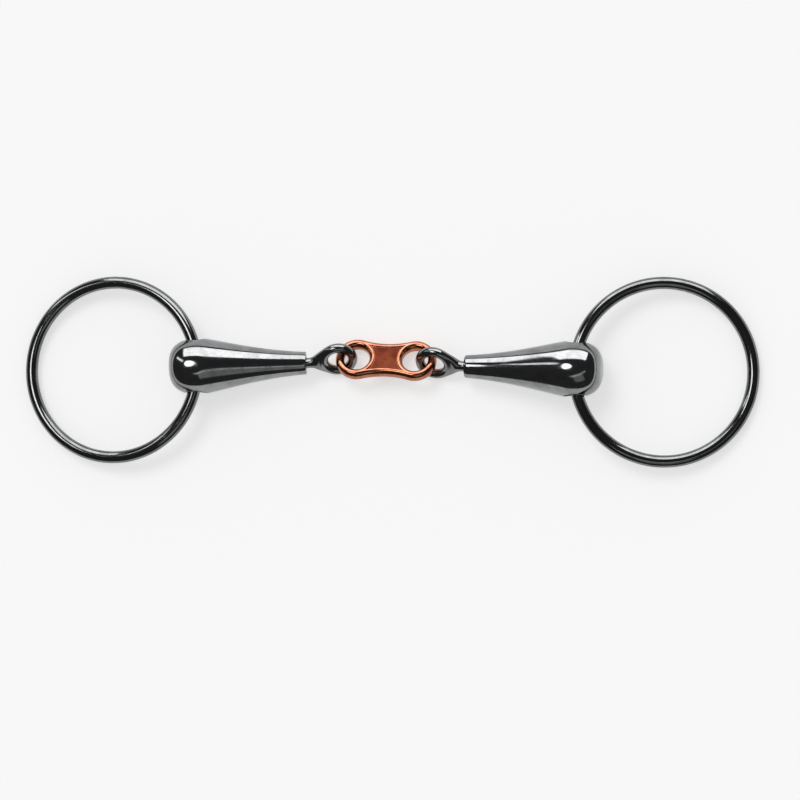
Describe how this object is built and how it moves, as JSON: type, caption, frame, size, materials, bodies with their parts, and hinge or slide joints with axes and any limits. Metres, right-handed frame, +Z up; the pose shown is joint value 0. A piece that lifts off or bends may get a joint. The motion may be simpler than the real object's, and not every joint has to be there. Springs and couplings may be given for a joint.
{
  "type": "snaffle bit",
  "caption": "Loose-ring double-jointed snaffle bit: hollow polished steel cannons with forged eyes on a copper dog-bone centre link.",
  "frame": {"origin": "on the table plane, under the middle of the bounding box", "axes": "+X along the mouthpiece from the left ring to the right ring, +Y away from the front edge, +Z up off the table"},
  "size_m": [0.2742, 0.0748, 0.021],
  "materials": {
    "dark_steel": "mirror polished dark stainless steel",
    "liner_steel": "drawn tube, unpolished inside",
    "copper_link": "polished copper"
  },
  "bodies": {
    "link": {"centre_link": "copper_link"},
    "arm_left": {"eye_left": "dark_steel", "cannon_left": "dark_steel"},
    "liner_left": {"ring_liner_left": "liner_steel"},
    "ring_left": {"ring_left": "dark_steel"},
    "arm_right": {"eye_right": "dark_steel", "cannon_right": "dark_steel"},
    "liner_right": {"ring_liner_right": "liner_steel"},
    "ring_right": {"ring_right": "dark_steel"}
  },
  "joints": [
    {"name": "fold_left", "type": "hinge", "parent": "link", "child": "arm_left", "pos_m": [-0.01726, 0.00399, 0.00566], "axis": [0, 0.8988, -0.4384], "range_deg": [-90, 90]},
    {"name": "ring_swing_left", "type": "hinge", "parent": "arm_left", "child": "liner_left", "pos_m": [-0.0707, -0.00047, 0.01059], "axis": [0.0628, -0.998, 0], "range_deg": [-172, 148]},
    {"name": "ring_spin_left", "type": "hinge", "parent": "liner_left", "child": "ring_left", "pos_m": [-0.10238, -0.00246, 0.00648], "axis": [-0.1282, -0.0081, 0.9917], "continuous": true},
    {"name": "fold_right", "type": "hinge", "parent": "link", "child": "arm_right", "pos_m": [0.01704, 0.00399, 0.00566], "axis": [0, -0.8988, 0.4384], "range_deg": [-90, 90]},
    {"name": "ring_swing_right", "type": "hinge", "parent": "arm_right", "child": "liner_right", "pos_m": [0.07067, 0.00249, 0.01059], "axis": [0, 1, 0], "range_deg": [-172, 148]},
    {"name": "ring_spin_right", "type": "hinge", "parent": "liner_right", "child": "ring_right", "pos_m": [0.10241, 0.00249, 0.00648], "axis": [0.1285, 0, 0.9917], "continuous": true}
  ]
}
